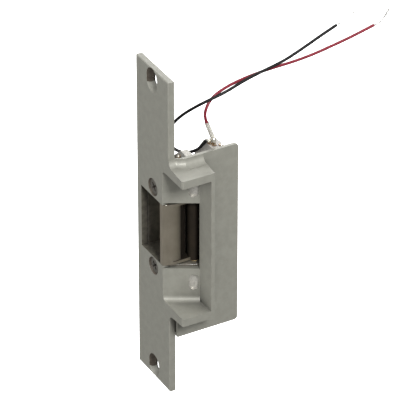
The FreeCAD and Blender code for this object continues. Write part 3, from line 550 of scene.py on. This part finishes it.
# Points that each lead's smooth line is drawn towards, in millimetres, from its joint outwards.
RED_ROUTE = (
    (15.0, 22.2, 65.9), (15.0, 20.2, 71.4), (14.5, 21.7, 77.0), (13.3, 26.1, 81.5),
    (12.0, 34.5, 84.2), (11.0, 44.0, 85.6), (10.4, 55.0, 86.6), (10.0, 67.0, 86.9),
    (10.0, 79.0, 87.1), (10.2, 91.0, 88.3), (10.0, 103.0, 90.2), (10.1, 116.8, 92.8),
    (10.0, 130.0, 96.0),
)
BLACK_ROUTE = (
    (12.4, 23.0, 54.4), (10.8, 20.2, 49.7), (8.1, 16.4, 46.7), (5.0, 11.8, 46.0),
    (2.3, 7.7, 48.5), (0.9, 5.0, 53.6), (1.4, 4.9, 59.8), (3.8, 7.6, 66.2),
    (7.9, 11.6, 72.4), (13.0, 15.6, 78.0), (17.0, 21.6, 82.6), (18.0, 31.5, 85.2),
    (17.4, 43.0, 88.8), (16.6, 55.2, 91.0), (16.0, 69.0, 93.2), (15.0, 83.5, 98.0),
    (14.4, 93.4, 101.8), (14.0, 103.4, 105.3),
)
RED_TIP = ((10.0, 130.0, 96.0), (10.0, 134.3, 96.6), (10.0, 137.0, 99.6), (10.0, 139.8, 103.9))
BLACK_TIP = ((14.0, 103.4, 105.3), (14.0, 107.6, 107.0), (14.0, 114.5, 110.7))
LEAD_RADIUS = 0.85 * MM
# Colour, route, stripped end's route, insulation, and length of the insulation in metres.
LEADS = (
    ("red", RED_ROUTE, RED_TIP, RED_PVC, 0.1231),
    ("black", BLACK_ROUTE, BLACK_TIP, BLACK_PVC, 0.1517),
)
# A stripped end's seven tinned strands, in millimetres.
STRANDS = 7
STRAND_RADIUS = 0.19
STRAND_SPACING = 0.31
STRAND_TURNS = 1.6
TIP_SPREAD = 0.05


def route_curve(name, route, radius, material=None):
    """A smooth NURBS line through a route in millimetres, as thick as its wire."""
    curve = bpy.data.curves.new(name, "CURVE")
    curve.dimensions = "3D"
    spline = curve.splines.new("NURBS")
    spline.points.add(len(route) - 1)
    for point, spot in zip(spline.points, route):
        point.co = (*(Vector(spot) * MM), 1)
    spline.order_u = 3
    spline.use_endpoint_u = True
    spline.resolution_u = 10
    curve.bevel_depth = radius
    curve.bevel_resolution = 5
    curve.use_fill_caps = True
    if material:
        curve.materials.append(material)
    return add_object(name, curve)


def line_of(route):
    """Points read from the route's own smooth line."""
    guide = route_curve("guide", route, 0)
    mesh = bpy.data.meshes.new_from_object(guide)
    spots = [vertex.co.copy() for vertex in mesh.vertices]
    bpy.data.objects.remove(guide)
    return spots


def polyline(name, spots, radius, material):
    """A round wire through many close points, as a closed mesh."""
    curve = bpy.data.curves.new(name, "CURVE")
    curve.dimensions = "3D"
    spline = curve.splines.new("POLY")
    spline.points.add(len(spots) - 1)
    for point, spot in zip(spline.points, spots):
        point.co = (*spot, 1)
    curve.bevel_depth = radius
    curve.bevel_resolution = 3
    curve.use_fill_caps = True
    guide = add_object(name + "_line", curve)
    mesh = bpy.data.meshes.new_from_object(guide)
    bpy.data.objects.remove(guide)
    mesh.materials.clear()
    mesh.materials.append(material)
    shaded(mesh, sharp=50)
    return add_object(name, mesh)


def twisted_strands(name, route):
    """A stripped end: strands twisted round a straight one, and looser towards the tip."""
    spots = line_of(route)
    last = len(spots) - 1
    pieces = []
    for strand in range(STRANDS):
        straight = strand == STRANDS - 1
        along = []
        for number, spot in enumerate(spots):
            share = number / last
            ahead = spots[min(number + 1, last)] - spots[max(number - 1, 0)]
            side = ahead.cross(Vector((1, 0, 0))).normalized()
            other = ahead.cross(side).normalized()
            turn = math.tau * (strand / (STRANDS - 1) + STRAND_TURNS * share)
            away = 0 if straight else (STRAND_SPACING + TIP_SPREAD * share**3) * MM
            along.append(spot + (side * math.cos(turn) + other * math.sin(turn)) * away)
        cut = len(along) - random.randint(0, 3)
        pieces.append(polyline(f"{name}_{strand}", along[:cut], STRAND_RADIUS * MM, TINNED))
    return merged(name, pieces)


def build_leads():
    """Both leads with their insulation as a cord and their ends as loose strands."""
    for colour, route, tip, material, length in LEADS:
        wire = route_curve(f"{colour}_wire", route, LEAD_RADIUS, material)
        strands = twisted_strands(f"{colour}_strands", tip)
        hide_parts(f"{colour}_lead_tip")
        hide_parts(f"{colour}_lead")
        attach(wire, BODY)
        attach(strands, BODY)


# ------------------------------------------------------------------ screws


# Screws in millimetres: the radii of head and shank, the head's height and the shank's length.
PanScrew = namedtuple("PanScrew", "head tall shank long")
COVER_SCREW = PanScrew(head=2.6, tall=1.4, shank=1.5, long=3.75)
COIL_SCREW = PanScrew(head=2.0, tall=1.4, shank=1.25, long=3.55)
BRACKET_SCREW = PanScrew(head=1.65, tall=1.4, shank=1.15, long=0.95)
BRACKET_THICK = 1.0
DOME_STEPS = 8
# Shares of a pan head's height: where its dome starts, and the top of its straight rim.
DOME_FOOT = 0.28
RIM_TALL = 0.2
# A pan head's cross: reach and half its width as shares of the head's radius, and depth
# as a share of the head's height.
CROSS_REACH = 0.6
CROSS_HALF_WIDE = 0.14
CROSS_DEPTH = 0.9

FLAT_TOP = 3.1
FLAT_CROWN = 4.3
FLAT_HEAD = 4.48
FLAT_HEAD_TALL = 2.88
FLAT_SHANK = 1.5
FLAT_LONG = 8.08
FLAT_CROSS = 2.75
FLAT_CROSS_HALF_WIDE = 0.6
FLAT_CROSS_DEPTH = 2.1


def cross_cutter(reach, half_wide, depth):
    """A tapering cross-shaped tool whose mouth is near height 0."""
    corners = []
    for quarter in range(4):
        turn = Matrix.Rotation(math.radians(90 * quarter), 2)
        for spot in ((reach, -half_wide), (reach, half_wide), (half_wide, half_wide)):
            corners.append(turn @ Vector(spot))
    shape = bmesh.new()
    rings = []
    # The height of each of the tool's rings, and how wide it is there.
    levels = ((0.6, 1.1), (-depth * 0.75, 0.62), (-depth, 0.2))
    for height, scale in levels:
        ring = []
        for corner in corners:
            spot = Vector((corner.x * scale, corner.y * scale, height))
            ring.append(shape.verts.new(spot * MM))
        rings.append(ring)
    for low, high in zip(rings, rings[1:]):
        for step in range(len(corners)):
            after = (step + 1) % len(corners)
            shape.faces.new((low[step], low[after], high[after], high[step]))
    shape.faces.new(rings[0])
    shape.faces.new(reversed(rings[-1]))
    bmesh.ops.recalc_face_normals(shape, faces=shape.faces)
    mesh = bpy.data.meshes.new("cross_tool")
    shape.to_mesh(mesh)
    shape.free()
    return add_object("cross_tool", mesh)


def grooves(radius, start, end, pitch, depth):
    """The outline of thread-like grooves between two heights, from the top down."""
    outline = []
    height = start
    while height - pitch > end:
        outline.append((radius, height))
        outline.append((radius - depth, height - pitch / 2))
        height -= pitch
    return outline


def in_cross_recess(spot, _normal):
    """Inside the countersunk screw's cross, below its top, where painted shade darkens it."""
    near_axis = math.hypot(spot.x, spot.y) < FLAT_CROSS - 0.05
    return near_axis and -FLAT_CROSS_DEPTH - 0.2 < spot.z < -0.2


def flat_screw(name):
    """A countersunk cross-recess screw along Z; its flat top is at height 0."""
    outline = [(0, 0), (FLAT_TOP, 0), (FLAT_CROWN, -0.02), (FLAT_HEAD, -0.14)]
    outline.append((FLAT_SHANK + 0.1, -FLAT_HEAD_TALL))
    outline += grooves(FLAT_SHANK, -3.0, -7.8, pitch=0.7, depth=0.16)
    outline += [(FLAT_SHANK - 0.2, -8.0), (0, -FLAT_LONG)]
    screw = lathed(name, outline, SCREW, sides=56)
    carve(screw, cross_cutter(FLAT_CROSS, FLAT_CROSS_HALF_WIDE, FLAT_CROSS_DEPTH))
    refinish(screw, SHADED_RECESS, in_cross_recess)
    return screw


def pan_screw(name, size):
    """A round-headed cross-recess screw along Z that seats at height 0."""
    head, tall, shank, long = size
    outline = [(0, tall)]
    for step in range(1, DOME_STEPS):
        angle = math.radians(90 * step / DOME_STEPS)
        rise = DOME_FOOT + (1 - DOME_FOOT) * math.cos(angle)
        outline.append((head * math.sin(angle), tall * rise))
    outline += [(head, tall * RIM_TALL), (head - 0.08, 0), (shank, 0)]
    outline += grooves(shank, -0.2, -long + 0.3, pitch=0.6, depth=0.14)
    outline += [(shank - 0.25, -long + 0.02), (0, -long)]
    screw = lathed(name, outline, SCREW, sides=40)
    cutter = cross_cutter(head * CROSS_REACH, head * CROSS_HALF_WIDE, tall * CROSS_DEPTH)
    cutter.data.transform(Matrix.Translation((0, 0, tall * MM)))
    carve(screw, cutter)
    return screw


def node_centres(node, along):
    """The middles of a node's separate solids, across the axis they stand along, in millimetres."""
    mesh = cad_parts[node].data
    shape = bmesh.new()
    shape.from_mesh(mesh)
    bmesh.ops.remove_doubles(shape, verts=shape.verts, dist=WELD)
    left = set(shape.verts)
    centres = []
    while left:
        island = set()
        front = [left.pop()]
        while front:
            vertex = front.pop()
            island.add(vertex)
            for edge in vertex.link_edges:
                other = edge.other_vert(vertex)
                if other in left:
                    left.discard(other)
                    front.append(other)
        low = Vector([min(v.co[i] for v in island) for i in range(3)])
        high = Vector([max(v.co[i] for v in island) for i in range(3)])
        middle = (low + high) / 2
        middle[along] = 0
        centres.append(middle / MM)
    shape.free()
    return sorted(centres, key=lambda spot: (round(spot.z, 2), round(spot.y, 2)))


# Node, the axis it stands along and its direction, the pan head's size (none for a
# countersunk screw), the first cross's turn and the turn from one to the next, in degrees.
SCREW_SETS = (
    ("frame_screws", Y, (0, -1, 0), None, 38, 0),
    ("cover_screws", X, (-1, 0, 0), COVER_SCREW, 20, 37),
    ("coil_screws", Z, (0, 0, -1), COIL_SCREW, 15, 50),
    ("bracket_screw", Y, (0, 1, 0), BRACKET_SCREW, 28, 0),
)


def screw_seats():
    """Where each set seats along its axis, in millimetres."""
    return {
        "frame_screws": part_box("frame_screws")[0][Y] / MM,
        "cover_screws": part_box("side_cover")[0][X] / MM,
        "coil_screws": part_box("coil_screws")[0][Z] / MM + COIL_SCREW.tall,
        "bracket_screw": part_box("lead_bracket")[0][Y] / MM + BRACKET_THICK,
    }


def build_screws():
    """One object for each set of screws, with a screw at each of its CAD solids."""
    seats = screw_seats()
    for node, along, direction, size, first_turn, next_turn in SCREW_SETS:
        screws = []
        for number, spot in enumerate(node_centres(node, along)):
            spot[along] = seats[node]
            name = f"{node}_{number}"
            screw = pan_screw(name, size) if size else flat_screw(name)
            turn = math.radians(first_turn + next_turn * number)
            screw.data.transform(Matrix.Rotation(turn, 4, "Z"))
            screws.append(aim(screw, spot, direction))
        piece = merged(f"{node}_detailed", screws)
        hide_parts(node)
        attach(piece, BODY)


# ------------------------------------------------------------------ springs and coil


COIL_STEPS = 28
# How much more slowly a coil climbs at its ends than in its middle.
END_CLOSING = 0.10


def leg_end(first, second, long):
    """The far end of a straight leg that carries on from a coil's end point."""
    inwards = second - first
    inwards.z = 0
    return first - inwards.normalized() * long * MM


def coil_line(centre, radius, low, high, turns):
    """Points of a coil about Z with closer end turns, in metres."""
    count = int(turns * COIL_STEPS)
    spots = []
    for number in range(count + 1):
        share = number / count
        angle = math.tau * turns * share
        risen = share - END_CLOSING * math.sin(math.tau * share) / math.tau
        across = centre.x + radius * math.cos(angle)
        back = centre.y + radius * math.sin(angle)
        spots.append(Vector((across, back, low + (high - low) * risen)) * MM)
    return spots


def spring(name, node, wire, turns, start_leg=0, end_leg=0):
    """A coiled spring, with straight legs, that fills the space of its CAD tube."""
    low, high = (Vector(corner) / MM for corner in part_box(node))
    centre = (low + high) / 2
    radius = (high.x - low.x) / 2 - wire / 2
    spots = coil_line(centre, radius, low.z + wire / 2, high.z - wire / 2, turns)
    if start_leg:
        spots.insert(0, leg_end(spots[0], spots[1], start_leg))
    if end_leg:
        spots.append(leg_end(spots[-1], spots[-2], end_leg))
    piece = polyline(name, spots, wire / 2 * MM, SPRING_STEEL)
    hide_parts(node)
    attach(piece, BODY)
    return piece


def build_springs():
    """The two torsion springs, and the return spring that the plunger presses flat."""
    spring("keeper_torsion_spring", "keeper_spring", 1.0, 5.4, start_leg=5.0, end_leg=4.0)
    spring("lever_torsion_spring", "lever_spring", 0.8, 11.3, start_leg=3.5)
    rising = spring("plunger_return_spring", "plunger_spring", 0.55, 6.5)
    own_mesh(rising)


WINDING_BORE = 4.36
WINDING_TURNS = 24
# Directions of the points round each turn's outer half, in degrees from straight outwards.
TURN_POINTS = (-80, -40, 0, 40, 80)
# Keeps the end points of neighbouring turns apart.
TURN_SHARE = 0.98


def build_winding():
    """The winding's outer layer of enamelled wire, with every turn showing."""
    low, high = (Vector(corner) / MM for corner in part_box("coil_winding"))
    outer = (high.x - low.x) / 2
    wire = (high.z - low.z) / WINDING_TURNS
    outline = [(WINDING_BORE, low.z)]
    for turn in range(WINDING_TURNS):
        middle = low.z + wire * (turn + 0.5)
        for degrees in TURN_POINTS:
            angle = math.radians(degrees)
            bulge = outer - wire / 2 + wire / 2 * math.cos(angle)
            outline.append((bulge, middle + wire / 2 * TURN_SHARE * math.sin(angle)))
    outline.append((WINDING_BORE, high.z))
    piece = lathed("coil_winding_turns", outline, COPPER, sides=64, closed_ring=True)
    centre = (low + high) / 2
    centre.z = 0
    piece.data.transform(Matrix.Translation(centre * MM))
    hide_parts("coil_winding")
    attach(piece, BODY)


# ------------------------------------------------------------------ terminals


BLOB_SWELL = 0.13
BLOB_GRAIN = 1.7
# Lumps on the terminals: name, middle and radius in mm, stretch along X, Y and Z,
# material, and a number that makes its unevenness its own.
BLOBS = (
    ("red_solder_joint", (15.0, 25.9, 55.5), 1.6, (1.15, 0.95, 1.2), SOLDER, 3.0),
    ("black_solder_joint", (12.4, 24.0, 54.0), 1.1, (1.2, 0.9, 0.9), SOLDER, 9.0),
    ("bracket_solder_dot", (10.2, 6.5, 47.85), 0.95, (1, 1, 0.7), SOLDER, 4.0),
    ("head_solder_dot", (16.2, 30.1, 51.45), 0.95, (1, 1, 0.7), SOLDER, 2.0),
    ("red_flux_ring", (15.0, 26.2, 52.35), 1.3, (1.5, 1.2, 0.22), FLUX, 5.0),
    ("black_flux_ring", (12.5, 24.6, 52.35), 1.1, (1.5, 1.0, 0.2), FLUX, 6.0),
)


def blob(name, middle, radius, stretch, material, seed):
    """A small uneven lump, such as solder or flux."""
    bpy.ops.mesh.primitive_ico_sphere_add(subdivisions=4, radius=1)
    piece = bpy.context.active_object
    piece.name = name
    for vertex in piece.data.vertices:
        unevenness = noise.noise(vertex.co * BLOB_GRAIN + Vector((seed, 0, 0)))
        swell = 1 + BLOB_SWELL * unevenness
        spot = Vector([axis * swell * radius * out for axis, out in zip(vertex.co, stretch)])
        vertex.co = (Vector(middle) + spot) * MM
    piece.data.materials.append(material)
    shaded(piece.data, sharp=80)
    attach(piece, BODY)


def build_terminals():
    for row in BLOBS:
        blob(*row)


# ------------------------------------------------------------------ softened CAD pieces


# Node: body, face finish, edge finish, edge radius in mm, rounding steps. A lighter edge finish
# paints a highlight along the rounding.
SOFTENED = {
    "cast_body": (BODY, PAINT, PAINT_EDGE_WEAR_AND_HIGHLIGHT, 0.36, 3),
    "side_cover": (BODY, ZINC, STEEL_EDGE, 0.15, 2),
    "mechanism_frame": (BODY, FRAME_STEEL, STEEL_EDGE, 0.15, 2),
    "latch_stop": (BODY, FRAME_STEEL, FRAME_STEEL, 0.12, 2),
    "eyelets": (BODY, EYELET, EYELET, 0.1, 3),
    "keeper": ("keeper", NICKEL, NICKEL_EDGE, 0.35, 3),
    "keeper_pin_upper": (BODY, PIN_STEEL, PIN_STEEL, 0.15, 2),
    "keeper_pin_lower": (BODY, PIN_STEEL, PIN_STEEL, 0.15, 2),
    "keeper_washers": (BODY, WASHER_BRASS, WASHER_BRASS, 0.06, 1),
    "locking_lever": ("locking_lever", DARK_STEEL, STEEL_EDGE, 0.15, 2),
    "lever_pin": (BODY, PIN_STEEL, PIN_STEEL, 0.15, 2),
    "plunger": ("plunger", IRON, IRON, 0.12, 2),
    "coil_bobbin": (BODY, BLACK_NYLON, BLACK_NYLON, 0.12, 2),
    "coil_yoke": (BODY, ZINC, STEEL_EDGE, 0.2, 2),
    "coil_stop": (BODY, IRON, IRON, 0.15, 2),
    "terminal_block": (BODY, MOULDING, MOULDING_EDGE, 0.5, 3),
    "terminal_tags": (BODY, BRASS, BRASS_EDGE, 0.12, 2),
    "lead_bracket": (BODY, BRACKET, BRACKET_EDGE, 0.22, 2),
}


# Places on the cast body, in millimetres.
PLATE_FRONT = cad_box[0][Y] / MM
HOLE_HEIGHT = 93.7
HOLE_HALF_WIDE = 6
HOLE_HALF_TALL = 6.9
# A slot's lower half, whose faces look up, keeps its paint; the other faces get painted shade.
HOLE_LIT_SLOPE = 0.25
OPENING_LEFT = -13.6
OPENING_RIGHT = 11
OPENING_HALF_TALL = 19.85
SCREW_ACROSS = 0.2
SCREW_HEIGHT = 25.8
SCREW_SINK_RADIUS = 5.35
# The flared walls' front edge, their slope, and their blind slots' middle along the slope.
FLARE_EDGE = 10.9
FLARE_SIDE, FLARE_BACK = 0.499, 0.867
SLOT_ALONG = 17.07
SLOT_HALF_LONG = 2.8
SLOT_HEIGHT = 30.4
SLOT_HALF_TALL = 5
SLOT_TOP, SLOT_FLOOR = 0.12, 1.6
# The keeper's hollow: the web's back, the flanges' inner faces and its open side.
WEB_BACK = 7.1
FLANGE_INSIDE = 17.95
HOLLOW_RIGHT = 15.2


def in_mounting_hole(spot, normal):
    """The parts of a mounting slot that light doesn't reach, darkened as painted shade."""
    near = abs(spot.x) < HOLE_HALF_WIDE and abs(abs(spot.z) - HOLE_HEIGHT) < HOLE_HALF_TALL
    return near and PLATE_FRONT + 0.08 < spot.y < -0.05 and normal.z < HOLE_LIT_SLOPE


def in_latch_opening(spot, normal):
    """The sides of the plate's opening, between its front and its back, darkened as painted shade.
    """
    beside = OPENING_LEFT < spot.x < OPENING_RIGHT and abs(spot.z) < OPENING_HALF_TALL
    return beside and PLATE_FRONT + 0.1 < spot.y < -0.05 and abs(normal.y) < 0.5


def in_screw_sink(spot, _normal):
    """Round a countersunk frame screw, below the plate's front, darkened for bare metal and painted
    shade.
    """
    away = math.hypot(spot.x - SCREW_ACROSS, abs(spot.z) - SCREW_HEIGHT)
    return away < SCREW_SINK_RADIUS and PLATE_FRONT + 0.06 < spot.y < -0.1


def in_wall_slot(spot, _normal):
    """Below the flared wall's face, within the blind slot, whose inside gets the lighter edge paint
    as a painted highlight.
    """
    across, back = spot.x - FLARE_EDGE, spot.y - PLATE_FRONT
    depth = FLARE_SIDE * back - FLARE_BACK * across
    along = FLARE_SIDE * across + FLARE_BACK * back
    beside = abs(along - SLOT_ALONG) < SLOT_HALF_LONG
    level = abs(abs(spot.z) - SLOT_HEIGHT) < SLOT_HALF_TALL
    return beside and level and SLOT_TOP < depth < SLOT_FLOOR


def in_keeper_hollow(spot, _normal):
    """Behind the keeper's web and between its flanges, where the near-black colour is painted
    shade.
    """
    return spot.y > WEB_BACK and abs(spot.z) < FLANGE_INSIDE and spot.x < HOLLOW_RIGHT


# Faces with a finish of their own, most of them painted shade, the wall slots' a painted highlight:
# node, finish and the test for a face's middle in mm.
REGIONS = (
    ("cast_body", BARE_METAL_AND_SHADE, in_mounting_hole),
    ("cast_body", SHADOWED_CUT, in_latch_opening),
    ("cast_body", BARE_METAL_AND_SHADE, in_screw_sink),
    ("cast_body", PAINT_EDGE_WEAR_AND_HIGHLIGHT, in_wall_slot),
    ("keeper", SHADED_HOLLOW, in_keeper_hollow),
)

# Nodes whose rounding leaves faces with no area.
LEAVES_SLIVERS = ("keeper",)


def build_softened():
    """Every CAD node with hard edges, as a copy with rounded ones."""
    for node, (body, face_finish, edge_finish, edge_round, steps) in SOFTENED.items():
        piece = cad_copy(node, f"{node}_softened", face_finish, edge_finish)
        soften_edges(piece, edge_round, steps)
        if node in LEAVES_SLIVERS:
            drop_slivers(piece.data)
        for region_node, material, wanted in REGIONS:
            if region_node == node:
                refinish(piece, material, wanted)
        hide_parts(node)
        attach(piece, body)


def finish_cad_nodes():
    """CAD nodes that are shown as they are get a finish of their own."""
    for node, material in (("clear_sleeve", SLEEVE), ("red_core", TINNED)):
        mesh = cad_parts[node].data
        mesh.materials.clear()
        mesh.materials.append(material)


set_camera()
set_floor()
set_world()
set_lights()
build_leads()
build_softened()
build_screws()
build_springs()
build_winding()
build_terminals()
finish_cad_nodes()
